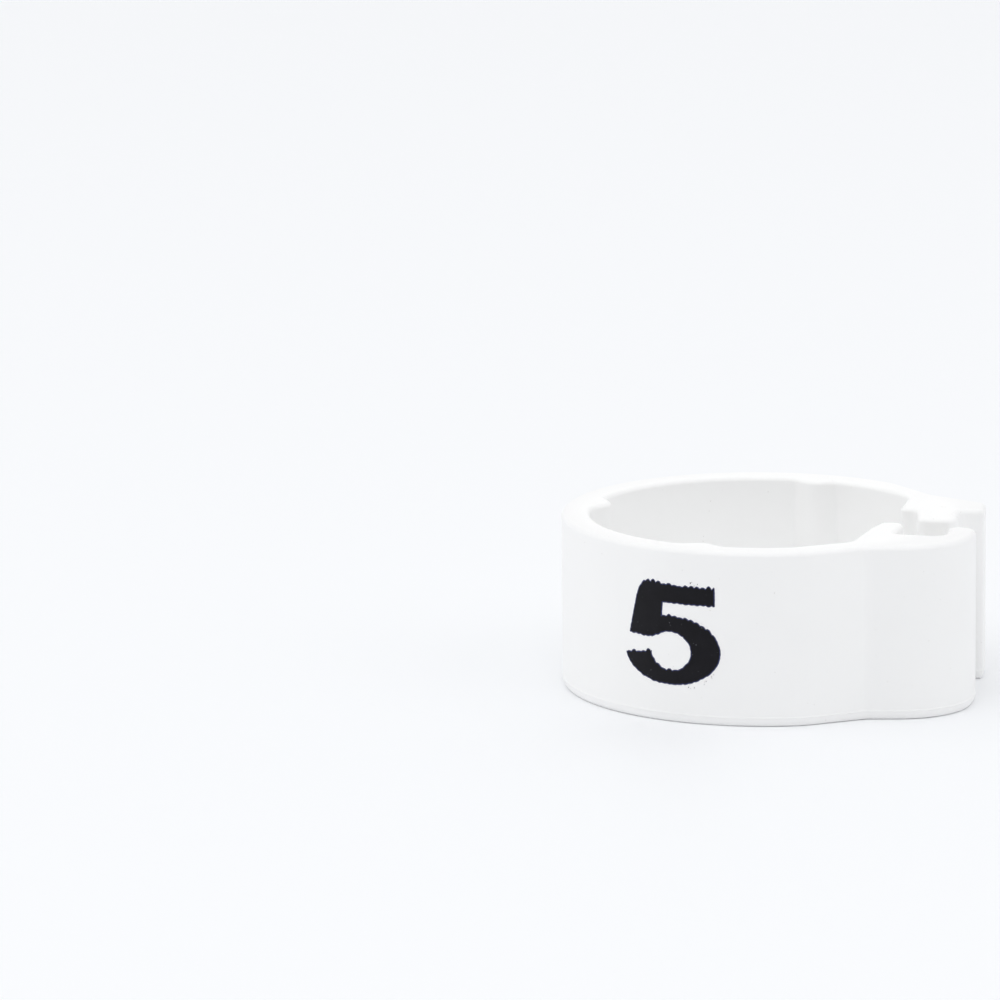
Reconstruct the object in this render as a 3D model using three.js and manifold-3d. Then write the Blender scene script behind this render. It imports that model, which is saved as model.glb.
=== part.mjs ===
// Clip-on numbered leg band for poultry: a split ring of white plastic that opens, goes
// round a bird's leg and snaps shut.
//
// Frame: millimetres, +Z up along the leg. The band lies flat on Z = 0, relaxed open.
// +X points from the back of the ring to the gap. The socket half is at -Y and the plug
// half at +Y. The origin is under the centre of the band's outline.
//
// The moulding is one outline in plan, raised to the band's height. Cutters then part it
// where it bends: three times in each half of the strap, and at the roots of the socket's
// two jaws. Each of those cuts is a rolling joint: a half-round end that turns in a seat.
// Plain cuts part the features that don't bend. The outline is drawn with the strap truly
// round, and the strap's joints then turn a little to give the shape that the band relaxes
// to. Angles are in degrees, from the gap.

import * as THREE from "three";
import { mergeVertices } from "three/addons/utils/BufferGeometryUtils.js";
import Module from "manifold-3d";

const wasm = await Module();
wasm.setup();

// Ring
const BORE_RADIUS = 8.0;
const WALL = 1.3;
const OUTER_RADIUS = BORE_RADIUS + WALL;
const MID_RADIUS = BORE_RADIUS + WALL / 2;
const HEIGHT = 7.85;
const EDGE = 0.22; // rounding of every top and bottom edge

// Rolling joints
const FLEX_ANGLES = [166, 145, 124]; // in the strap, on either side
const FLEX_SHARES = [1, 0.92, 0.79]; // how much each turns when the first turns by one
const REST_FLEX = { socket: 0.4, plug: 2.1 }; // how far the first is closed at rest
const SEAT_CLEARANCE = 0.04;
const FINGER_ROOT = { x: 5.93, y: -3.25, radius: 0.8 };
const LIP_ROOT = { x: 9.5, y: -3.12, radius: 0.6 };
const FINGER_CUT_X = 3.9; // clear of the finger, on the bore side

// Where the outline leaves the two circles to become the clasp
const OUTER_ROUND_ENDS_AT = 70;
const SOCKET_BORE_ENDS_AT = 74;
const PLUG_BORE_ENDS_AT = 53;

// Clasp corners in plan, from the ring centre: x, y and the radius that rounds the corner.
// The socket runs from the outer face round to the bore, the plug from the bore back out.
const SOCKET_CORNERS = [
  [3.73, -8.54, 3.0], // the outer face flattens
  [6.15, -6.69, 0.9], // hollow where the shoulder starts
  [10.2, -5.7, 3.4], // shoulder
  [10.12, -1.57, 0.7], // lip, outer tip
  [9.12, -1.58, 0.3], // lip, inner tip
  [8.75, -1.98, 0.28], // catch
  [8.96, -2.5, 0.28], // undercut behind the catch
  [8.86, -3.65, 0.5], // slot, outer corner
  [6.66, -3.65, 0.4], // slot, inner corner
  [6.72, -1.29, 0.4], // finger, outer tip
  [5.44, -1.29, 0.5], // finger, inner tip
  [5.17, -2.6, 1.5], // finger, inner face
  [4.95, -5.8, 0.9], // finger root
  [2.42, -7.63, 1.0], // the bore begins
];
const PLUG_CORNERS = [
  [5.21, 6.09, 1.0], // the bore ends
  [5.53, 3.35, 0.3], // ledge, inner corner
  [6.62, 3.37, 0.28], // valley beside the tongue
  [7.36, 1.4, 0.42], // tongue, inner tip
  [8.98, 1.6, 0.5], // tongue, outer tip
  [8.98, 2.32, 0.3], // barb
  [8.58, 2.9, 0.3], // neck, tongue end
  [8.56, 3.78, 0.25], // neck, toe end
  [9.62, 4.02, 0.3], // toe
  [9.16, 5.68, 0.6], // heel of the toe
  [6.22, 6.64, 0.9], // hollow where the shoulder ends
  [3.73, 8.54, 3.0], // the outer face is round again
];

// Plain cuts through the clasp, as angles or as x or y in plan
const SHOULDER_ANGLE = 56; // wall to shoulder, on either side
const LIP_INNER_X = 8.8; // just inside the lip
const FINGER_OUTER_X = 6.73; // just outside the finger
const CATCH_X = 8.93; // lip to catch
const CATCH_Y = -2.6;
const LEDGE_Y = 4.5;
const TONGUE_X = 6.6; // ledge to tongue
const TONGUE_Y = 3.36; // tongue to shoulder
const BARB_X = 8.6;
const TOE_X = 8.75;
const TOE_Y = 5.2;

// Grip ribs on the bore: angle, height above the bore and half width
const GRIP_RIBS = [
  { name: "back_grip_rib", body: "back", angle: 180, rise: 0.65, halfWidth: 1.05 },
  { name: "socket_grip_rib", body: "socket_side", angle: -97.5, rise: 0.52, halfWidth: 1.1 },
  { name: "plug_grip_rib", body: "plug_side", angle: 89, rise: 0.48, halfWidth: 1.1 },
];

// Printed numbers on the outer face, one on each half
const PRINT_ANGLE = 103;
const PRINT_FILM = 0.05;
const PRINT_LIFT = 0.01; // between the wall and the film
const PRINT_SPREAD = 20; // half angle that holds a whole numeral
const NUMERAL_BASE_Z = 1.68;

// Gate mark where the plastic entered the mould
const GATE = { angle: 153, z: 3.9, radius: 0.4, tipRadius: 0.34, rise: 0.1 };

// Fineness
const RING_STEP = 3; // degrees
const CORNER_STEP = 12; // degrees
const KNUCKLE_SIDES = 32;
const CURVE_DIVISIONS = 14;
const BEYOND = 14; // reach of a cutter past the ring centre
const WELD = 1e-4; // vertices this close are one

const PLASTIC = new THREE.MeshStandardMaterial({
  name: "band_plastic",
  color: 0xf4f5f6,
  roughness: 0.38,
  metalness: 0,
});
const INK = new THREE.MeshStandardMaterial({
  name: "print_ink",
  color: 0x14141c,
  roughness: 0.45,
  metalness: 0,
});

// ---- Plan geometry ----

function polar(radius, angle) {
  const a = THREE.MathUtils.degToRad(angle);
  return new THREE.Vector2(radius * Math.cos(a), radius * Math.sin(a));
}

function arcPoints(radius, from, to, step = RING_STEP) {
  const count = Math.max(2, Math.round(Math.abs(to - from) / step));
  return Array.from({ length: count + 1 }, (_, i) =>
    polar(radius, from + ((to - from) * i) / count),
  );
}

// The arc that rounds one corner, as points.
function roundedCorner(before, corner, after, radius) {
  const toBefore = before.clone().sub(corner).normalize();
  const toAfter = after.clone().sub(corner).normalize();
  const halfTurn = (Math.PI - toBefore.angleTo(toAfter)) / 2;
  const bisector = toBefore.clone().add(toAfter).normalize();
  const centre = corner.clone().addScaledVector(bisector, radius / Math.cos(halfTurn));
  const tangent = radius * Math.tan(halfTurn);
  const start = corner.clone().addScaledVector(toBefore, tangent).sub(centre);
  const end = corner.clone().addScaledVector(toAfter, tangent).sub(centre);
  const sweep = Math.atan2(start.cross(end), start.dot(end));
  const turn = THREE.MathUtils.radToDeg(Math.abs(sweep));
  const count = Math.max(2, Math.ceil(turn / CORNER_STEP));
  return Array.from({ length: count + 1 }, (_, i) =>
    start.clone().rotateAround(new THREE.Vector2(), (sweep * i) / count).add(centre),
  );
}

function roundedChain(before, corners, after) {
  const points = [before, ...corners.map(([x, y]) => new THREE.Vector2(x, y)), after];
  return corners.flatMap(([, , radius], i) =>
    roundedCorner(points[i], points[i + 1], points[i + 2], radius),
  );
}

const outerArc = arcPoints(OUTER_RADIUS, OUTER_ROUND_ENDS_AT, 360 - OUTER_ROUND_ENDS_AT);
const boreArc = arcPoints(BORE_RADIUS, 360 - SOCKET_BORE_ENDS_AT, PLUG_BORE_ENDS_AT);

// The moulding's outline in plan, counterclockwise.
const bandOutline = [
  ...outerArc,
  ...roundedChain(outerArc.at(-1), SOCKET_CORNERS, boreArc[0]),
  ...boreArc,
  ...roundedChain(boreArc.at(-1), PLUG_CORNERS, outerArc[0]),
];

// ---- Solids ----

// A geometry as a manifold-3d solid, from its positions alone.
function toSolid(geometry) {
  const bare = new THREE.BufferGeometry();
  bare.setAttribute("position", geometry.getAttribute("position"));
  if (geometry.index) bare.setIndex(geometry.index);
  const merged = mergeVertices(bare, WELD);
  return new wasm.Manifold(
    new wasm.Mesh({
      numProp: 3,
      vertProperties: new Float32Array(merged.attributes.position.array),
      triVerts: new Uint32Array(merged.index.array),
    }),
  );
}

// A prism of an outline in plan, from z = low up to z = high, its rims rounded by edge.
function prism(outline, low, high, edge = 0) {
  const geometry = new THREE.ExtrudeGeometry(new THREE.Shape(outline), {
    depth: high - low - 2 * edge,
    bevelEnabled: edge > 0,
    bevelThickness: edge,
    bevelSize: edge,
    bevelOffset: -edge,
    bevelSegments: 2,
  });
  geometry.translate(0, 0, low + edge);
  return toSolid(geometry);
}

// Cutters are taller than the band.
const cutter = (outline) => prism(outline, -1, HEIGHT + 1);

function cylinderCutter({ x, y }, radius) {
  const circle = arcPoints(radius, 0, 360, 360 / KNUCKLE_SIDES).slice(0, -1);
  return cutter(circle.map((p) => p.add(new THREE.Vector2(x, y))));
}

function boxCutter(x0, x1, y0, y1) {
  const corners = [[x0, y0], [x1, y0], [x1, y1], [x0, y1]];
  return cutter(corners.map(([x, y]) => new THREE.Vector2(x, y)));
}

// A wedge about the ring centre between two angles, counterclockwise.
function wedgeCutter(from, to) {
  return cutter([new THREE.Vector2(), ...arcPoints(2 * BEYOND, from, to, 10)]);
}

// The part of a wedge on one side of the band: +1 plug, -1 socket.
function sideWedge(side, near, far) {
  return side > 0 ? wedgeCutter(near, far) : wedgeCutter(-far, -near);
}

// ---- The strap ----

const moulding = prism(bandOutline, 0, HEIGHT, EDGE);
const knuckleAt = (side, i) => polar(MID_RADIUS, side * FLEX_ANGLES[i]);
const seatAt = (side, i) => cylinderCutter(knuckleAt(side, i), WALL / 2 + SEAT_CLEARANCE);

// A strap piece starts with a half-round end and finishes in the seat of the next one.
function strapPiece(side, i) {
  const next = FLEX_ANGLES[i + 1];
  const span = sideWedge(side, next ?? 0, FLEX_ANGLES[i]);
  const piece = moulding.intersect(span.add(cylinderCutter(knuckleAt(side, i), WALL / 2)));
  return next === undefined ? piece : piece.subtract(seatAt(side, i + 1));
}

const backStrap = moulding
  .intersect(wedgeCutter(FLEX_ANGLES[0], 360 - FLEX_ANGLES[0]))
  .subtract(seatAt(-1, 0))
  .subtract(seatAt(1, 0));

// ---- The socket half: wall, shoulder, and two jaws that spring ----

// The space of the finger or the lip with its half-round root, grown by a clearance.
function fingerSpace(grow) {
  const { x, y, radius } = FINGER_ROOT;
  const jaw = boxCutter(FINGER_CUT_X, FINGER_OUTER_X + grow, y - grow, 0);
  return jaw.add(cylinderCutter({ x, y }, radius + grow));
}

function lipSpace(grow) {
  const { x, y, radius } = LIP_ROOT;
  const jaw = boxCutter(LIP_INNER_X - grow, BEYOND, y - grow, 0);
  return jaw.add(cylinderCutter({ x, y }, radius + grow));
}

const socketHalf = strapPiece(-1, 2);
const socketClasp = socketHalf.intersect(sideWedge(-1, 0, SHOULDER_ANGLE));
const socketArm = socketHalf.intersect(sideWedge(-1, SHOULDER_ANGLE, 180));
const catchSpace = boxCutter(FINGER_OUTER_X, CATCH_X, CATCH_Y, 0);
const socketFinger = socketClasp.intersect(fingerSpace(0));
const socketLip = socketClasp.intersect(lipSpace(0)).subtract(catchSpace);
const lipCatch = socketClasp.intersect(catchSpace);
const socketShoulder = socketClasp
  .subtract(fingerSpace(SEAT_CLEARANCE))
  .subtract(lipSpace(SEAT_CLEARANCE))
  .subtract(catchSpace);

// ---- The plug half: wall, shoulder, ledge, tongue with its barb, and toe ----

const plugHalf = strapPiece(1, 2);
const plugClasp = plugHalf.intersect(sideWedge(1, 0, SHOULDER_ANGLE));
const plugArm = plugHalf.intersect(sideWedge(1, SHOULDER_ANGLE, 180));
const tongueSpace = boxCutter(TONGUE_X, BEYOND, 0, TONGUE_Y);
const barbSpace = boxCutter(BARB_X, BEYOND, 0, TONGUE_Y);
const ledgeSpace = boxCutter(0, TONGUE_X, 0, LEDGE_Y);
const toeSpace = boxCutter(TOE_X, BEYOND, TONGUE_Y, TOE_Y);
const plugTongue = plugClasp.intersect(tongueSpace).subtract(barbSpace);
const tongueBarb = plugClasp.intersect(barbSpace);
const plugLedge = plugClasp.intersect(ledgeSpace);
const plugToe = plugClasp.intersect(toeSpace);
const plugShoulder = plugClasp.subtract(tongueSpace).subtract(ledgeSpace).subtract(toeSpace);

// ---- Grip ribs: a low round bar along the bore ----

const boreFill = cutter([...boreArc].reverse());

function gripRib({ angle, rise, halfWidth }) {
  const radius = (halfWidth ** 2 + rise ** 2) / (2 * rise);
  const centre = polar(BORE_RADIUS - rise + radius, angle);
  const section = arcPoints(radius, 0, 360, CORNER_STEP).slice(0, -1);
  const bar = prism(section.map((p) => p.add(centre)), 0, HEIGHT, EDGE);
  return bar.intersect(boreFill);
}

// ---- Printed numeral five: across along the wall and up, from the middle of its base ----

function numeralShape() {
  const shape = new THREE.Shape();
  shape.moveTo(-2.24, 2.2);
  shape.lineTo(-1.64, 4.6);
  shape.lineTo(2.02, 4.44);
  shape.lineTo(2.02, 3.74);
  shape.lineTo(-0.42, 3.74);
  shape.lineTo(-0.5, 3.2);
  shape.absellipse(-0.06, 1.58, 2.44, 1.52, 1.74, 3.38, true, 0); // outer bowl
  shape.lineTo(-1.05, 1.42);
  shape.absellipse(-0.08, 1.54, 1.0, 0.9, 3.38, 8.35, false, 0); // inner bowl
  shape.lineTo(-1.15, 2.12);
  shape.closePath();
  return shape;
}

// The numeral seen square on at the given angle, as a bar that runs out along the radius.
function numeralBar(angle) {
  const points = numeralShape().getPoints(CURVE_DIVISIONS);
  const wrapped = points.map(
    (p) => new THREE.Vector2(OUTER_RADIUS * Math.sin(p.x / OUTER_RADIUS), p.y),
  );
  const geometry = new THREE.ExtrudeGeometry(new THREE.Shape(wrapped), {
    depth: BEYOND,
    bevelEnabled: false,
  });
  geometry.rotateX(Math.PI / 2); // up stays up once the bar points along -Y
  geometry.rotateZ(THREE.MathUtils.degToRad(angle + 90));
  geometry.translate(0, 0, NUMERAL_BASE_Z);
  return toSolid(geometry);
}

function printedNumber(side) {
  const low = side * PRINT_ANGLE - PRINT_SPREAD;
  const high = side * PRINT_ANGLE + PRINT_SPREAD;
  const inner = OUTER_RADIUS + PRINT_LIFT;
  const film = cutter([
    ...arcPoints(inner + PRINT_FILM, low, high),
    ...arcPoints(inner, high, low),
  ]);
  return film.intersect(numeralBar(side * PRINT_ANGLE));
}

// ---- Gate mark: a low round boss on the outer face ----

function gateMark() {
  const boss = new THREE.CylinderGeometry(GATE.tipRadius, GATE.radius, GATE.rise, KNUCKLE_SIDES);
  boss.rotateZ(-Math.PI / 2); // the boss points along +X
  boss.translate(OUTER_RADIUS + PRINT_LIFT + GATE.rise / 2, 0, GATE.z);
  boss.rotateZ(THREE.MathUtils.degToRad(GATE.angle));
  return toSolid(boss);
}

// ---- The scene graph: one group for each body that moves as one ----

const ribsOf = (body) =>
  GRIP_RIBS.filter((rib) => rib.body === body).map((rib) => [rib.name, gripRib(rib)]);

const bodies = {
  back: [["back_strap", backStrap], ...ribsOf("back")],
  socket_link_1: [["socket_strap_link_1", strapPiece(-1, 0)]],
  socket_link_2: [["socket_strap_link_2", strapPiece(-1, 1)]],
  socket_side: [
    ["socket_arm", socketArm],
    ["socket_shoulder", socketShoulder],
    ...ribsOf("socket_side"),
    ["socket_number_print", printedNumber(-1), INK],
  ],
  finger: [["socket_finger", socketFinger]],
  lip: [["socket_lip", socketLip], ["lip_catch", lipCatch]],
  plug_link_1: [["plug_strap_link_1", strapPiece(1, 0)], ["gate_mark", gateMark()]],
  plug_link_2: [["plug_strap_link_2", strapPiece(1, 1)]],
  plug_side: [
    ["plug_arm", plugArm],
    ["plug_shoulder", plugShoulder],
    ...ribsOf("plug_side"),
    ["plug_ledge", plugLedge],
    ["plug_tongue", plugTongue],
    ["tongue_barb", tongueBarb],
    ["plug_toe", plugToe],
    ["plug_number_print", printedNumber(1), INK],
  ],
};

function meshOf(name, solid, material = PLASTIC) {
  const { vertProperties, triVerts } = solid.getMesh();
  const geometry = new THREE.BufferGeometry();
  geometry.setAttribute("position", new THREE.BufferAttribute(vertProperties, 3));
  geometry.setIndex(new THREE.BufferAttribute(triVerts, 1));
  geometry.computeVertexNormals();
  const mesh = new THREE.Mesh(geometry, material);
  mesh.name = name;
  return mesh;
}

// Turns a group about an upright axis at a point in plan. Its children are still placed
// from the ring centre.
function turnAbout(group, { x, y }, degrees) {
  group.rotation.z = THREE.MathUtils.degToRad(degrees);
  const turned = new THREE.Vector3(x, y, 0).applyEuler(group.rotation);
  group.position.set(x - turned.x, y - turned.y, 0);
}

const groups = {};
for (const [body, pieces] of Object.entries(bodies)) {
  groups[body] = new THREE.Group();
  groups[body].name = body;
  groups[body].add(...pieces.map((piece) => meshOf(...piece)));
}
groups.socket_side.add(groups.finger, groups.lip);

// Each half hangs on the back as a chain of groups.
for (const [half, side] of [["socket", -1], ["plug", 1]]) {
  let parent = groups.back;
  for (const [i, link] of ["link_1", "link_2", "side"].entries()) {
    const group = groups[`${half}_${link}`];
    turnAbout(group, knuckleAt(side, i), -side * FLEX_SHARES[i] * REST_FLEX[half]);
    parent.add(group);
    parent = group;
  }
}

// The middle of the band's outline comes over the origin.
const legBand = new THREE.Group();
legBand.name = "leg_band";
legBand.add(groups.back);
const middle = new THREE.Box3().setFromObject(legBand, true).getCenter(new THREE.Vector3());
legBand.position.set(-middle.x, -middle.y, 0);

export default legBand;
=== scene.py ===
"""Clip-on numbered leg band: the looks around its CAD frame.

The moulding's outline in plan is drawn here with the strap truly round, as finely as it
shows. The strap is then bent to the shape that it relaxes to, and raised to the band's
height with rounded rims. It is parted in the middle of each stiff stretch.
Lengths in the tables are millimetres from the centre of the ring. Angles are in degrees
from the gap: the socket half is at the negative angles and the plug half at the positive.
"""

import math
import random

import bmesh
import bpy
from mathutils import Matrix, Vector, noise


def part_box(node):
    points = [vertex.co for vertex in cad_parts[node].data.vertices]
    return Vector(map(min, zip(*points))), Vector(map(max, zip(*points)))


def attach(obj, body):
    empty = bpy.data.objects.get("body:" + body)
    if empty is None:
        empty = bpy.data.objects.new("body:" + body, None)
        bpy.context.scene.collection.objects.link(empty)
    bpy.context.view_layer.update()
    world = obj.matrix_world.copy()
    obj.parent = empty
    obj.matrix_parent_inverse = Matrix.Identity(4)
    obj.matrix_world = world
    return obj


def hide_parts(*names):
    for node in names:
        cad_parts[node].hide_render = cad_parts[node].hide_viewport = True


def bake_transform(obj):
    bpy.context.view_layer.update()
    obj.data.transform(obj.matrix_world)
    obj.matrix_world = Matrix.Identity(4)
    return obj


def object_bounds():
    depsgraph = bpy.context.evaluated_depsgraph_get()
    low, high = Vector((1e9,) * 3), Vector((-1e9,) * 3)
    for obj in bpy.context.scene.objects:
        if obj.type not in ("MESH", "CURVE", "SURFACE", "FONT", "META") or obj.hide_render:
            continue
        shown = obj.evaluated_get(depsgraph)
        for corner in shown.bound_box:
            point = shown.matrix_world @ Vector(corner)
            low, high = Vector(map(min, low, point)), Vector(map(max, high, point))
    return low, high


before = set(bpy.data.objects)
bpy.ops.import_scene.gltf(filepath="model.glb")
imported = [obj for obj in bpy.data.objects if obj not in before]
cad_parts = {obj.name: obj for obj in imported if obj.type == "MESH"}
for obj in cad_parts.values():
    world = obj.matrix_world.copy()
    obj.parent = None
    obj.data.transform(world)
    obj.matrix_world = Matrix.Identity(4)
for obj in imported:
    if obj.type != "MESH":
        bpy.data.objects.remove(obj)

cad_low, cad_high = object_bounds()

MM = 0.001

# Ring
HEIGHT = (cad_high.z - cad_low.z) / MM
BORE_RADIUS = 8.0
WALL = 1.3
OUTER_RADIUS = BORE_RADIUS + WALL
MID_RADIUS = BORE_RADIUS + WALL / 2
back_low, back_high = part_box("back_strap")
RING_CENTRE_X = back_low.x / MM + OUTER_RADIUS
RING_CENTRE_Y = (back_low.y + back_high.y) / 2 / MM
RIM_ROUNDING = 0.22

# Below the mould's parting line the wall draws in to the lower rim: height, how far in, and
# how many degrees the face looks down. The line itself is a fine raised bead.
LOWER_RIM = [
    (0.0, 0.2, 90),
    (0.02, 0.13, 60),
    (0.06, 0.085, 40),
    (0.13, 0.045, 24),
    (0.23, 0.015, 14),
    (0.33, 0.0, 10),
    (0.37, -0.008, 24),
    (0.4, -0.014, 0),
    (0.44, -0.007, -26),
    (0.47, 0.0, 0),
]

# Where the outline leaves the two circles to become the clasp
OUTER_ROUND_ENDS_AT = 70
SOCKET_BORE_ENDS_AT = 70
PLUG_BORE_ENDS_AT = 51

# The strap bends at these angles on either side, over this much to each side of them.
FLEX_ANGLES = [166, 145, 124]
FLEX_SHARES = [1, 0.92, 0.79]  # how much each turns when the first turns by one
REST_FLEX = {-1: 0.4, 1: 2.1}  # how far each half's first one is closed at rest
FLEX_REACH = 6.5
SEAM_ANGLES = [180, 155.5, 134.5]

# The socket's two jaws part from it at this height in plan.
JAW_SEAM_Y = -3.15

# Clasp corners: x, y and the radius that rounds the corner
SOCKET_CORNERS = [
    (3.73, -8.54, 3.0),  # the outer face flattens
    (6.15, -6.69, 0.9),  # hollow where the shoulder starts
    (10.2, -5.7, 3.4),  # shoulder
    (10.12, -1.57, 0.7),  # lip, outer tip
    (9.12, -1.58, 0.3),  # lip, inner tip
    (8.75, -1.98, 0.28),  # catch
    (8.96, -2.5, 0.28),  # undercut behind the catch
    (8.86, -3.65, 0.5),  # slot, outer corner
    (6.66, -3.65, 0.4),  # slot, inner corner
    (6.72, -1.29, 0.4),  # finger, outer tip
    (5.66, -1.29, 0.45),  # finger, inner tip
    (5.42, -2.6, 1.5),  # finger, inner face
    (5.22, -5.72, 0.9),  # finger root
    (2.95, -7.44, 1.0),  # the bore begins
]
PLUG_CORNERS = [
    (5.38, 5.94, 1.0),  # the bore ends
    (5.84, 3.35, 0.3),  # ledge, inner corner
    (6.62, 3.37, 0.28),  # valley beside the tongue
    (7.36, 1.4, 0.42),  # tongue, inner tip
    (8.98, 1.6, 0.5),  # tongue, outer tip
    (8.98, 2.32, 0.3),  # barb
    (8.58, 2.9, 0.3),  # neck, tongue end
    (8.56, 3.78, 0.25),  # neck, toe end
    (9.62, 4.02, 0.3),  # toe
    (9.16, 5.68, 0.6),  # heel of the toe
    (6.22, 6.64, 0.9),  # hollow where the shoulder ends
    (3.73, 8.54, 3.0),  # the outer face is round again
]

# Grip ribs on the bore: angle, height above the bore and half width
RIB_SHARPNESS = 1.2  # a plain cosine's flanks are at 1
GRIP_RIBS = [(180, 0.65, 1.15), (-97.5, 0.52, 1.1), (89, 0.5, 1.05)]

# Printed numbers. The numeral's points are along the wall and up, from the middle of its base.
PRINT_ANGLE = 103
PRINT_BASE_Z = 1.68
NUMERAL_CORNERS = [
    (-2.24, 2.2),
    (-1.85, 3.86),
    (-1.7, 4.26),
    (-1.46, 4.56),
    (2.02, 4.42),
    (2.02, 3.74),
    (-0.46, 3.74),
    (-0.5, 3.2),
]
BOWL_CENTRE = (-0.12, 1.58)
BOWL_RADII = (2.4, 1.52)
BOWL_TURNS = (1.74, 3.38 - 2 * math.pi)
STROKE_END = (-1.05, 1.42)  # inner corner of the bowl's lower end
COUNTER_CENTRE = (-0.08, 1.54)
COUNTER_RADII = (1.0, 0.9)
COUNTER_TURNS = (3.38, 8.35)
COUNTER_CORNER = (-1.15, 2.12)
OUTLINE_STEP = 0.03
PRINT_FACET = 0.2

# Ink
PRINT_SUNK = 0.006  # the ink's underside is this far inside the wall
INK_FILM = 0.016
INK_EDGE_FILM = 0.01
INK_EDGE_SPREAD = 0.015  # how far the thin blue edge runs past the numeral's outline
INK_BLACK_SPREAD = -0.035  # how far the black stays short of it
INK_WANDER = 0.02
INK_WANDER_GRAIN = 1 / 9
PRINT_COLUMN = 0.27  # the print head's step along the wall
PRINT_COLUMNS = range(-12, 13)
PRINT_TOOTH_UP = (0.02, 0.17)  # how far one step's ink reaches past an upper edge
PRINT_TOOTH_DOWN = (0.02, 0.06)
PRINT_TOOTH_SHAPE = 0.7  # lower is blunter
SPLASHES = 14
SPLASH_FIELD = (0.7, 2.1, -0.1, 0.8)  # low x, high x, low y and high y beside the bowl
UPPER_SPLASH_FIELD = (0.7, 1.6, 4.5, 4.85)
UPPER_SPLASH_SHARE = 0.12
SPLASH_RADII = (0.008, 0.026)
SPLASH_GAPS = (0.02, 0.28)  # least clear space and greatest distance from the outline
SPLASH_STRETCH = (1, 1.9)
SPLASH_SIDES = 8

# Gate mark: a trimmed stub on the outer face
GATE_ANGLE = 153
GATE_Z = 3.9
GATE_SIDES = 40
GATE_UNEVEN = 0.012
GATE_GRAIN = 1 / 9
GATE_SKIN = 0.04  # only what stands higher than this is uneven
GATE_PROFILE = [  # radius and height above the wall, from the pit's middle outwards
    (0.0, 0.045),
    (0.05, 0.048),
    (0.1, 0.062),
    (0.13, 0.085),
    (0.17, 0.098),
    (0.24, 0.1),
    (0.3, 0.094),
    (0.335, 0.08),
    (0.355, 0.05),
    (0.375, 0.022),
    (0.4, 0.006),
    (0.4, -0.03),
]

# Fineness
RING_STEP = 1.5
CORNER_STEP = 7.0
RIM_STEPS = 5


# ---- The outline in plan: stations, each a point and the normal that faces out ----


def polar(radius, angle):
    a = math.radians(angle)
    return Vector((radius * math.cos(a), radius * math.sin(a)))


def rib_rise(angle):
    """How far the grip ribs stand above the bore at an angle."""
    total = 0.0
    for centre, rise, half_width in GRIP_RIBS:
        away = (angle - centre + 180) % 360 - 180
        t = math.radians(abs(away)) * BORE_RADIUS / half_width
        if t < 1:
            total += rise * math.cos(t * math.pi / 2) ** RIB_SHARPNESS
    return total


def outer_station(angle):
    return polar(OUTER_RADIUS, angle), polar(1, angle)


def bore_point(angle):
    return polar(BORE_RADIUS - rib_rise(angle), angle)


def bore_station(angle):
    along = bore_point(angle + 0.05) - bore_point(angle - 0.05)
    return bore_point(angle), Vector((-along.y, along.x)).normalized()


def arc_stations(station, start, end, step=RING_STEP):
    count = max(2, round(abs(end - start) / step))
    return [station(start + (end - start) * i / count) for i in range(count + 1)]


def rounded_corner(before, corner, after, radius):
    """The arc that rounds one corner of the outline, which runs counterclockwise."""
    to_before = (before - corner).normalized()
    to_after = (after - corner).normalized()
    half_turn = (math.pi - to_before.angle(to_after)) / 2
    centre = corner + (to_before + to_after).normalized() * (radius / math.cos(half_turn))
    tangent = radius * math.tan(half_turn)
    start = corner + to_before * tangent - centre
    end = corner + to_after * tangent - centre
    cross = start.x * end.y - start.y * end.x
    sweep = math.atan2(cross, start.dot(end))
    outward = 1 if sweep > 0 else -1
    count = max(3, math.ceil(math.degrees(abs(sweep)) / CORNER_STEP))
    spokes = [Matrix.Rotation(sweep * i / count, 2) @ start for i in range(count + 1)]
    return [(centre + spoke, spoke.normalized() * outward) for spoke in spokes]


def rounded_chain(before, corners, after):
    points = [before, *(Vector(corner[:2]) for corner in corners), after]
    stations = []
    for i, corner in enumerate(corners):
        stations += rounded_corner(points[i], points[i + 1], points[i + 2], corner[2])
    return stations


def split_at_y(stations, y):
    """The runs of a chain between its crossings of a line y. Neighbours share a station."""
    runs = [[stations[0]]]
    for (p, n), (q, m) in zip(stations, stations[1:]):
        if (p.y - y) * (q.y - y) < 0:
            t = (y - p.y) / (q.y - p.y)
            crossing = (p.lerp(q, t), n.lerp(m, t).normalized())
            runs[-1].append(crossing)
            runs.append([crossing])
        runs[-1].append((q, m))
    return runs


def smooth_share(t):
    t = min(max(t, 0), 1)
    return t * t * (3 - 2 * t)


def relaxed(point, normal):
    """Where a station of the round ring comes to lie on the relaxed band."""
    angle = math.degrees(math.atan2(point.y, point.x))
    side = 1 if angle > 0 else -1
    for flex_angle, share in reversed(list(zip(FLEX_ANGLES, FLEX_SHARES))):
        past = smooth_share(0.5 + (flex_angle - abs(angle)) / (2 * FLEX_REACH))
        turn = Matrix.Rotation(math.radians(-side * share * REST_FLEX[side]) * past, 2)
        hinge = polar(MID_RADIUS, side * flex_angle)
        point = hinge + turn @ (point - hinge)
        normal = turn @ normal
    return point, normal


# ---- Mesh work ----


def in_frame(x, y, z):
    """A point in millimetres from the ring's centre, in the frame's metres."""
    return Vector(((x + RING_CENTRE_X) * MM, (y + RING_CENTRE_Y) * MM, z * MM))


def object_from(name, form):
    """A linked mesh object made from a bmesh, which is freed."""
    mesh = bpy.data.meshes.new(name)
    form.to_mesh(mesh)
    form.free()
    obj = bpy.data.objects.new(name, mesh)
    bpy.context.scene.collection.objects.link(obj)
    return obj


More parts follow.
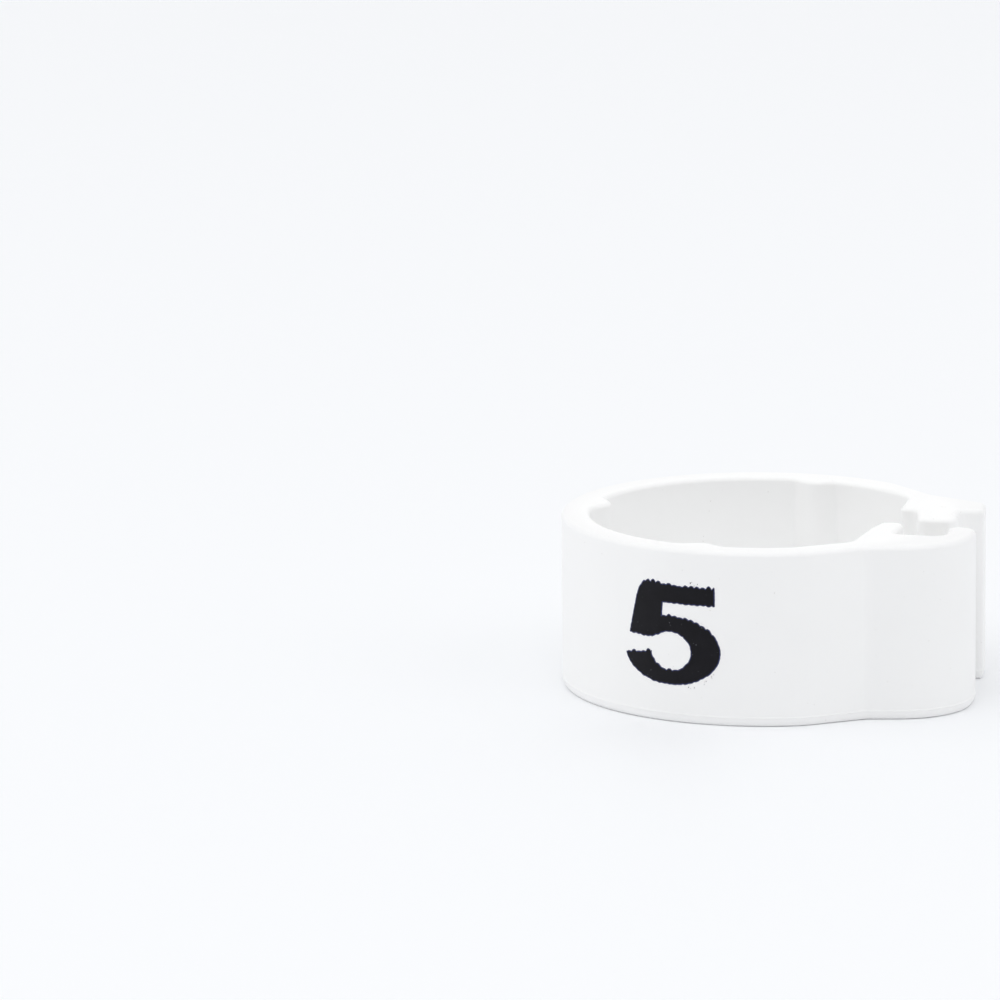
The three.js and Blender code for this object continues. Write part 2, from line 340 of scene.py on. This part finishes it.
def rim_levels():
    """(height, how far in, slope of the normal) from the lower rim to the upper one."""
    lower = [(z, inset, math.radians(-down)) for z, inset, down in LOWER_RIM]
    turns = [math.pi / 2 * i / RIM_STEPS for i in range(RIM_STEPS + 1)]
    upper = [
        (
            HEIGHT - RIM_ROUNDING * (1 - math.sin(turn)),
            RIM_ROUNDING * (1 - math.cos(turn)),
            turn,
        )
        for turn in turns
    ]
    return lower + upper


def shaded_mesh(name, vertices, faces, normals, sharp_faces):
    """A mesh object whose shading normals are given for each corner of each face."""
    mesh = bpy.data.meshes.new(name)
    mesh.from_pydata(vertices, [], faces)
    mesh.update()
    for polygon in mesh.polygons:
        polygon.use_smooth = True
    rims = {key for face in sharp_faces for key in mesh.polygons[face].edge_keys}
    for edge in mesh.edges:
        edge.use_edge_sharp = edge.key in rims
    mesh.normals_split_custom_set([n for face in normals for n in face])
    obj = bpy.data.objects.new(name, mesh)
    bpy.context.scene.collection.objects.link(obj)
    return obj


def raised_wall(name, runs):
    """A closed solid of the band's height. Its outline is the runs, joined by flat seams."""
    levels = rim_levels()
    stations = [relaxed(*station) for run in runs for station in run]
    vertices = []
    for point, normal in stations:
        for z, inset, _ in levels:
            at = point - normal * inset
            vertices.append(in_frame(at.x, at.y, z))
    tall = len(levels)
    seams = set()
    last = -1
    for run in runs:
        last += len(run)
        seams.add(last)
    faces = []
    normals = []
    sharp_faces = []
    for i in range(len(stations)):
        j = (i + 1) % len(stations)
        if i in seams:
            column = [i * tall + k for k in range(tall)]
            other = [j * tall + k for k in reversed(range(tall))]
            across = vertices[other[-1]] - vertices[column[0]]
            normal = Vector((across.y, -across.x, 0)).normalized()
            face = other + column
            sharp_faces.append(len(faces))
            faces.append(face)
            normals.append([normal] * len(face))
            continue
        for k in range(tall - 1):
            faces.append([i * tall + k, j * tall + k, j * tall + k + 1, i * tall + k + 1])
            turned = []
            for s, level in ((i, k), (j, k), (j, k + 1), (i, k + 1)):
                turn = levels[level][2]
                flat = stations[s][1] * math.cos(turn)
                turned.append(Vector((flat.x, flat.y, math.sin(turn))))
            normals.append(turned)
    faces.append([i * tall for i in reversed(range(len(stations)))])
    normals.append([Vector((0, 0, -1))] * len(stations))
    faces.append([i * tall + tall - 1 for i in range(len(stations))])
    normals.append([Vector((0, 0, 1))] * len(stations))
    return shaded_mesh(name, vertices, faces, normals, sharp_faces)


# ---- The moulding, in parts ----


def bend_over(piece):
    """Bakes a piece's placement into its mesh."""
    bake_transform(piece)


def bend_jaw(piece):
    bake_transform(piece)


def finish_plastic(piece, *nodes):
    piece.data.materials.append(BAND_PLASTIC)
    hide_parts(*nodes)


def strap_part(half, side, i, nodes):
    """Part i of a half's strap, between its seam angles i and i + 1."""
    far, near = side * SEAM_ANGLES[i], side * SEAM_ANGLES[i + 1]
    low, high = sorted((far, near))
    piece = raised_wall(
        f"{half}_strap_{i + 1}",
        [arc_stations(outer_station, low, high), arc_stations(bore_station, high, low)],
    )
    bend_over(piece)
    finish_plastic(piece, *nodes)


def make_straps():
    strap_part("socket", -1, 0, ["back_strap", "back_grip_rib", "socket_strap_link_1"])
    strap_part("socket", -1, 1, ["socket_strap_link_2"])
    strap_part("plug", 1, 0, ["back_strap", "back_grip_rib", "plug_strap_link_1"])
    strap_part("plug", 1, 1, ["plug_strap_link_2"])


def make_socket():
    outer = arc_stations(outer_station, -SEAM_ANGLES[2], -OUTER_ROUND_ENDS_AT)
    bore = arc_stations(bore_station, -SOCKET_BORE_ENDS_AT, -SEAM_ANGLES[2])
    chain = rounded_chain(outer[-1][0], SOCKET_CORNERS, bore[0][0])
    shoulder_outer, lip, slot, finger, shoulder_inner = split_at_y(chain, JAW_SEAM_Y)

    wall = raised_wall(
        "socket_wall", [outer + shoulder_outer, slot, shoulder_inner + bore]
    )
    bend_over(wall)
    finish_plastic(wall, "socket_arm", "socket_shoulder", "socket_grip_rib")

    jaw = raised_wall("socket_lip_jaw", [lip])
    bend_jaw(jaw)
    finish_plastic(jaw, "socket_lip", "lip_catch")

    jaw = raised_wall("socket_finger_jaw", [finger])
    bend_jaw(jaw)
    finish_plastic(jaw, "socket_finger")


def make_plug():
    outer = arc_stations(outer_station, OUTER_ROUND_ENDS_AT, SEAM_ANGLES[2])
    bore = arc_stations(bore_station, SEAM_ANGLES[2], PLUG_BORE_ENDS_AT)
    chain = rounded_chain(bore[-1][0], PLUG_CORNERS, outer[0][0])
    wall = raised_wall("plug_wall", [bore + chain + outer])
    bend_over(wall)
    finish_plastic(
        wall,
        "plug_arm",
        "plug_shoulder",
        "plug_grip_rib",
        "plug_ledge",
        "plug_tongue",
        "tongue_barb",
        "plug_toe",
    )


# ---- Printed numbers ----


def ellipse(centre, radii, start, end):
    """Points of an ellipse between two angles in radians."""
    count = math.ceil(abs(end - start) * max(radii) / OUTLINE_STEP)
    turns = [start + (end - start) * i / count for i in range(count + 1)]
    return [
        Vector((centre[0] + radii[0] * math.cos(a), centre[1] + radii[1] * math.sin(a)))
        for a in turns
    ]


def numeral_outline():
    """Numeral five, clockwise."""
    outline = [Vector(corner) for corner in NUMERAL_CORNERS]
    outline += ellipse(BOWL_CENTRE, BOWL_RADII, *BOWL_TURNS)
    outline.append(Vector(STROKE_END))
    outline += ellipse(COUNTER_CENTRE, COUNTER_RADII, *COUNTER_TURNS)
    outline.append(Vector(COUNTER_CORNER))
    return outline


def evenly_spaced(outline):
    """The same closed outline with a point at every step along it."""
    points = []
    for p, q in zip(outline, outline[1:] + outline[:1]):
        count = max(1, round((q - p).length / OUTLINE_STEP))
        points += [p.lerp(q, i / count) for i in range(count)]
    return points


def outline_normals(points):
    """Unit vectors that face out of a clockwise outline."""
    normals = []
    for i in range(len(points)):
        along = points[(i + 1) % len(points)] - points[i - 1]
        normals.append(Vector((-along.y, along.x)).normalized())
    return normals


def printed_edge(points, seed, spread):
    """The outline as the print head lays it: each of its steps leaves a tooth."""
    teeth = {}
    chance = random.Random(seed)
    for column in PRINT_COLUMNS:
        teeth[column, True] = chance.uniform(*PRINT_TOOTH_UP)
        teeth[column, False] = chance.uniform(*PRINT_TOOTH_DOWN)
    edge = []
    for point, normal in zip(points, outline_normals(points)):
        step = point.x / PRINT_COLUMN
        column = math.floor(step)
        tooth = math.sin((step - column) * math.pi) ** PRINT_TOOTH_SHAPE
        reach = teeth[column, normal.y > 0] * tooth * abs(normal.y) ** 1.5
        grain = Vector((point.x / INK_WANDER_GRAIN, point.y / INK_WANDER_GRAIN, seed))
        out = spread + INK_WANDER * noise.noise(grain)
        edge.append(point + Vector((0, math.copysign(reach, normal.y))) + normal * out)
    return edge


def outside_bowl(point):
    across = (point.x - BOWL_CENTRE[0]) / BOWL_RADII[0]
    up = (point.y - BOWL_CENTRE[1]) / BOWL_RADII[1]
    return across**2 + up**2 > 1


def splashes(outline, seed):
    """Specks of ink beside the numeral, most of them downstream of the bowl."""
    chance = random.Random(seed)
    least_gap, greatest_gap = SPLASH_GAPS
    specks = []
    while len(specks) < SPLASHES:
        upper = chance.random() < UPPER_SPLASH_SHARE
        low_x, high_x, low_y, high_y = UPPER_SPLASH_FIELD if upper else SPLASH_FIELD
        middle = Vector((chance.uniform(low_x, high_x), chance.uniform(low_y, high_y)))
        gap = min((middle - point).length for point in outline)
        radius = chance.uniform(*SPLASH_RADII)
        clear = upper or outside_bowl(middle)
        if not clear or not radius + least_gap < gap < greatest_gap:
            continue
        tall = radius * chance.uniform(*SPLASH_STRETCH)
        turns = [2 * math.pi * k / SPLASH_SIDES for k in range(SPLASH_SIDES)]
        specks.append(
            [middle + Vector((radius * math.cos(a), -tall * math.sin(a))) for a in turns]
        )
    return specks


def film_layer(form, outline, side, film, material_index):
    """Adds one closed solid to form: an outline on the wall, as a film of ink."""
    flat = bmesh.new()
    flat.faces.new([flat.verts.new((point.x, point.y, 0)) for point in outline])
    low = min(point.x for point in outline)
    high = max(point.x for point in outline)
    for k in range(math.ceil(low / PRINT_FACET), math.ceil(high / PRINT_FACET)):
        geometry = flat.verts[:] + flat.edges[:] + flat.faces[:]
        bmesh.ops.bisect_plane(
            flat, geom=geometry, dist=1e-5, plane_co=(k * PRINT_FACET, 0, 0), plane_no=(1, 0, 0)
        )
    bmesh.ops.triangulate(flat, faces=flat.faces[:])
    layers = []
    for lift in (film, -PRINT_SUNK):
        layer = {}
        for vertex in flat.verts:
            angle = side * PRINT_ANGLE + math.degrees(vertex.co.x / OUTER_RADIUS)
            at, normal = relaxed(*outer_station(angle))
            at = at + normal * lift
            layer[vertex] = form.verts.new(in_frame(at.x, at.y, PRINT_BASE_Z + vertex.co.y))
        layers.append(layer)
    outer, inner = layers
    flat.normal_update()
    for face in flat.faces:
        corners = list(face.verts) if face.normal.z > 0 else list(reversed(face.verts))
        form.faces.new([outer[v] for v in corners]).material_index = material_index
        form.faces.new([inner[v] for v in reversed(corners)]).material_index = material_index
    for edge in flat.edges:
        if not edge.is_boundary:
            continue
        a, b = edge.verts
        loop = edge.link_loops[0]
        runs_on = loop.vert == a
        if (edge.link_faces[0].normal.z > 0) != runs_on:
            a, b = b, a
        wall = form.faces.new([outer[b], outer[a], inner[a], inner[b]])
        wall.material_index = material_index
    flat.free()


def print_number(half, side, seed):
    """The numeral on one half: black ink, with its thin blue edge under it, and splashes."""
    outline = evenly_spaced(numeral_outline())
    form = bmesh.new()
    film_layer(form, printed_edge(outline, seed, INK_EDGE_SPREAD), side, INK_EDGE_FILM, 1)
    film_layer(form, printed_edge(outline, seed, INK_BLACK_SPREAD), side, INK_FILM, 0)
    for speck in splashes(outline, seed):
        film_layer(form, speck, side, INK_EDGE_FILM, 0)
    piece = object_from(f"{half}_number_ink", form)
    piece.data.materials.append(PRINT_INK)
    piece.data.materials.append(INK_EDGE)
    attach(piece, f"{half}_side")
    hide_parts(f"{half}_number_print")


# ---- Gate mark ----


def make_gate_mark():
    """The stub that the runner left, with the pit where it broke off."""
    at, normal = relaxed(*outer_station(GATE_ANGLE))
    across = Vector((-normal.y, normal.x))
    form = bmesh.new()

    def place(radius, rise, turn):
        x = radius * math.cos(turn)
        y = radius * math.sin(turn)
        uneven = noise.noise(Vector((x / GATE_GRAIN, y / GATE_GRAIN, 3)))
        out = rise + (GATE_UNEVEN * uneven if rise > GATE_SKIN else 0)
        flat = at + normal * out + across * x
        return form.verts.new(in_frame(flat.x, flat.y, GATE_Z + y))

    crown = place(*GATE_PROFILE[0], 0)
    rings = [
        [place(radius, rise, 2 * math.pi * k / GATE_SIDES) for k in range(GATE_SIDES)]
        for radius, rise in GATE_PROFILE[1:]
    ]
    for k in range(GATE_SIDES):
        after = (k + 1) % GATE_SIDES
        form.faces.new([crown, rings[0][k], rings[0][after]])
        for inner, outer in zip(rings, rings[1:]):
            form.faces.new([inner[k], outer[k], outer[after], inner[after]])
    form.faces.new(list(reversed(rings[-1])))
    bmesh.ops.recalc_face_normals(form, faces=form.faces[:])
    piece = object_from("gate_stub", form)
    for polygon in piece.data.polygons:
        polygon.use_smooth = len(polygon.vertices) < GATE_SIDES
    piece.data.materials.append(BAND_PLASTIC)
    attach(piece, "plug_link_1")
    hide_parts("gate_mark")


# ---- Materials ----


def node_material(name):
    material = bpy.data.materials.new(name)
    material.use_nodes = True
    return material, material.node_tree, material.node_tree.nodes["Principled BSDF"]


def noise_node(tree, grain, detail=2.0, roughness=0.5):
    """Noise whose grain is about this many millimetres across."""
    place = tree.nodes.new("ShaderNodeTexCoord")
    texture = tree.nodes.new("ShaderNodeTexNoise")
    texture.inputs["Scale"].default_value = 1 / (grain * MM)
    texture.inputs["Detail"].default_value = detail
    texture.inputs["Roughness"].default_value = roughness
    tree.links.new(place.outputs["Object"], texture.inputs["Vector"])
    return texture.outputs["Fac"]


def ramp(tree, value, *stops):
    """A colour ramp, where each stop is a position and a grey or a colour."""
    node = tree.nodes.new("ShaderNodeValToRGB")
    node.color_ramp.elements[0].position = stops[0][0]
    node.color_ramp.elements[-1].position = stops[-1][0]
    for position, _ in stops[1:-1]:
        node.color_ramp.elements.new(position)
    for element, (_, colour) in zip(node.color_ramp.elements, stops):
        element.color = (*colour, 1) if isinstance(colour, tuple) else (colour, colour, colour, 1)
    tree.links.new(value, node.inputs["Fac"])
    return node.outputs["Color"]


def blended(tree, share, first, second):
    """first where share is 0, second where it is 1. Either may be a colour or an output."""
    node = tree.nodes.new("ShaderNodeMix")
    node.data_type = "RGBA"
    tree.links.new(share, node.inputs["Factor"])
    for slot, colour in (("A", first), ("B", second)):
        socket = next(i for i in node.inputs if i.name == slot and i.type == "RGBA")
        if isinstance(colour, tuple):
            socket.default_value = (*colour, 1)
        else:
            tree.links.new(colour, socket)
    return next(o for o in node.outputs if o.type == "RGBA")


def bumped(tree, height, depth, strength=1.0, under=None):
    """A bump as deep as depth millimetres, laid over the bump under it."""
    node = tree.nodes.new("ShaderNodeBump")
    node.inputs["Distance"].default_value = depth * MM
    node.inputs["Strength"].default_value = strength
    tree.links.new(height, node.inputs["Height"])
    if under is not None:
        tree.links.new(under, node.inputs["Normal"])
    return node.outputs["Normal"]


def painted_bore_light_fade(tree):
    """0 at the bore and 1 at the outer face: the share that fades the painted bore light out."""
    place = tree.nodes.new("ShaderNodeTexCoord")
    flat = tree.nodes.new("ShaderNodeVectorMath")
    flat.operation = "MULTIPLY"
    flat.inputs[1].default_value = (1, 1, 0)
    tree.links.new(place.outputs["Object"], flat.inputs[0])
    away = tree.nodes.new("ShaderNodeVectorMath")
    away.operation = "DISTANCE"
    away.inputs[1].default_value = in_frame(0, 0, 0)
    tree.links.new(flat.outputs["Vector"], away.inputs[0])
    share = tree.nodes.new("ShaderNodeMapRange")
    share.inputs["From Min"].default_value = (BORE_RADIUS + 0.2) * MM
    share.inputs["From Max"].default_value = (OUTER_RADIUS - 0.1) * MM
    tree.links.new(away.outputs["Value"], share.inputs["Value"])
    return share.outputs["Result"]


def make_band_plastic():
    """White polypropylene. Its bore is painted whiter, as painted light for the light that the
    thin wall lets through.
    """
    material, tree, shader = node_material("band_plastic")
    patches = noise_node(tree, 3.2, 3.0)
    # Painted light: the bore's colour is whiter than the outer face's, for the light that the thin
    # wall lets through.
    bore = ramp(tree, patches, (0.3, (0.986, 0.985, 0.978)), (0.7, (0.995, 0.994, 0.988)))
    outside = ramp(tree, patches, (0.3, (0.945, 0.945, 0.942)), (0.7, (0.958, 0.958, 0.955)))
    patches_with_painted_bore_light = blended(tree, painted_bore_light_fade(tree), bore, outside)
    speck = ramp(tree, noise_node(tree, 0.12, 1.0), (0.785, 0.0), (0.83, 1.0))
    colour = blended(tree, speck, patches_with_painted_bore_light, (0.6, 0.59, 0.57))
    tree.links.new(colour, shader.inputs["Base Color"])
    sheen = ramp(tree, noise_node(tree, 0.9, 4.0, 0.6), (0.3, 0.34), (0.7, 0.47))
    tree.links.new(sheen, shader.inputs["Roughness"])
    waves = bumped(tree, noise_node(tree, 1.6, 1.0), 0.02, 0.7)
    grain = bumped(tree, noise_node(tree, 0.09, 3.0, 0.6), 0.0022, 0.8, waves)
    tree.links.new(grain, shader.inputs["Normal"])
    shader.inputs["IOR"].default_value = 1.49
    return material


def make_print_ink():
    """Blue-black jet ink, with pinholes that let the white plastic through."""
    material, tree, shader = node_material("print_ink")
    body = ramp(
        tree,
        noise_node(tree, 0.5, 3.0),
        (0.35, (0.0018, 0.0017, 0.004)),
        (0.7, (0.004, 0.0038, 0.007)),
    )
    pinhole = ramp(tree, noise_node(tree, 0.085, 1.0), (0.76, 0.0), (0.8, 1.0))
    colour = blended(tree, pinhole, body, (0.16, 0.16, 0.18))
    tree.links.new(colour, shader.inputs["Base Color"])
    sheen = ramp(tree, noise_node(tree, 0.25, 3.0), (0.3, 0.38), (0.7, 0.55))
    tree.links.new(sheen, shader.inputs["Roughness"])
    grain = bumped(tree, noise_node(tree, 0.07, 2.0), 0.003, 0.8)
    tree.links.new(grain, shader.inputs["Normal"])
    shader.inputs["Specular IOR Level"].default_value = 0.2
    return material


def make_ink_edge():
    """The same ink where it has run out thin at its edge, and shows blue."""
    material, tree, shader = node_material("ink_edge")
    body = ramp(
        tree, noise_node(tree, 0.3, 2.0), (0.35, (0.014, 0.019, 0.085)), (0.7, (0.032, 0.04, 0.14))
    )
    tree.links.new(body, shader.inputs["Base Color"])
    shader.inputs["Roughness"].default_value = 0.5
    return material


# ---- Camera, light and floor ----

# The camera faces the socket half, a little from above, and looks past the ring's left.
VIEW_ANGLE = 17.0  # from the line across the gap
VIEW_PITCH = 11.79
VIEW_ROLL = -0.58
VIEW_ASIDE = 12.06  # the ring's centre is this far to the right of the line of sight, mm
VIEW_AHEAD = 292.5
VIEW_HEIGHT = 69.5
LENS = 238.3

# Soft boxes: azimuth from the front, elevation, size in metres and watts
BOX_DISTANCE = 1.2
SOFT_BOXES = {
    "top": (0, 55, (1.0, 1.0), 2.6),
    "left": (285, 36, (1.0, 0.8), 1.2),
    "right": (78, 36, (1.0, 0.8), 1.1),
}

# The white tent. A direction's lowness is its share of the view's side less its height.
TENT_STRENGTH = 0.875
TENT_WHITE = (0.985, 0.99, 1.0)
TENT_DIM = (0.15, 0.15, 0.155)
LOWNESS_PER_HEIGHT = -1.5
DIMS_FROM = 0.05
DIM_AT = 0.6

FLOOR_SIZE = 3.0


def make_camera():
    turn = Matrix.Rotation(math.radians(VIEW_ANGLE), 2)
    aside = turn @ Vector((VIEW_ASIDE, VIEW_AHEAD))
    data = bpy.data.cameras.new("view_camera")
    data.lens = LENS
    data.clip_start = 0.02
    camera = bpy.data.objects.new("view_camera", data)
    bpy.context.scene.collection.objects.link(camera)
    camera.location = in_frame(-aside.x, -aside.y, VIEW_HEIGHT)
    camera.rotation_euler = (
        Matrix.Rotation(math.radians(VIEW_ANGLE), 3, "Z")
        @ Matrix.Rotation(math.radians(90 - VIEW_PITCH), 3, "X")
        @ Matrix.Rotation(math.radians(VIEW_ROLL), 3, "Z")
    ).to_euler()
    bpy.context.scene.camera = camera


def soft_box(name, azimuth, elevation, size, power):
    data = bpy.data.lights.new(name, "AREA")
    data.shape = "RECTANGLE"
    data.size, data.size_y = size
    data.energy = power
    light = bpy.data.objects.new(name, data)
    bpy.context.scene.collection.objects.link(light)
    a, e = math.radians(azimuth), math.radians(elevation)
    back = Vector((math.sin(a) * math.cos(e), -math.cos(a) * math.cos(e), math.sin(e)))
    light.location = back * BOX_DISTANCE
    light.rotation_euler = back.to_track_quat("Z", "Y").to_euler()


def make_tent():
    """A white tent, dimmer low down on the side that the view comes from."""
    world = bpy.data.worlds.new("studio")
    world.use_nodes = True
    tree = world.node_tree
    place = tree.nodes.new("ShaderNodeTexCoord")
    lowness = tree.nodes.new("ShaderNodeVectorMath")
    lowness.operation = "DOT_PRODUCT"
    a = math.radians(VIEW_ANGLE)
    lowness.inputs[1].default_value = (math.sin(a), -math.cos(a), LOWNESS_PER_HEIGHT)
    tree.links.new(place.outputs["Generated"], lowness.inputs[0])
    tent = ramp(tree, lowness.outputs["Value"], (DIMS_FROM, TENT_WHITE), (DIM_AT, TENT_DIM))
    background = tree.nodes["Background"]
    background.inputs["Strength"].default_value = TENT_STRENGTH
    tree.links.new(tent, background.inputs["Color"])
    bpy.context.scene.world = world


def make_light():
    """Three soft boxes in the white tent."""
    for name, box in SOFT_BOXES.items():
        soft_box(name, *box)
    make_tent()
    bpy.context.scene.view_settings.view_transform = "Standard"


def make_floor():
    form = bmesh.new()
    bmesh.ops.create_grid(form, x_segments=1, y_segments=1, size=FLOOR_SIZE)
    floor = object_from("floor", form)
    material, _, shader = node_material("floor_paper")
    shader.inputs["Base Color"].default_value = (0.93, 0.94, 0.955, 1)
    shader.inputs["Roughness"].default_value = 0.6
    floor.data.materials.append(material)


BAND_PLASTIC = make_band_plastic()
PRINT_INK = make_print_ink()
INK_EDGE = make_ink_edge()

make_camera()
make_light()
make_floor()
make_straps()
make_socket()
make_plug()
print_number("socket", -1, 11)
print_number("plug", 1, 23)
make_gate_mark()
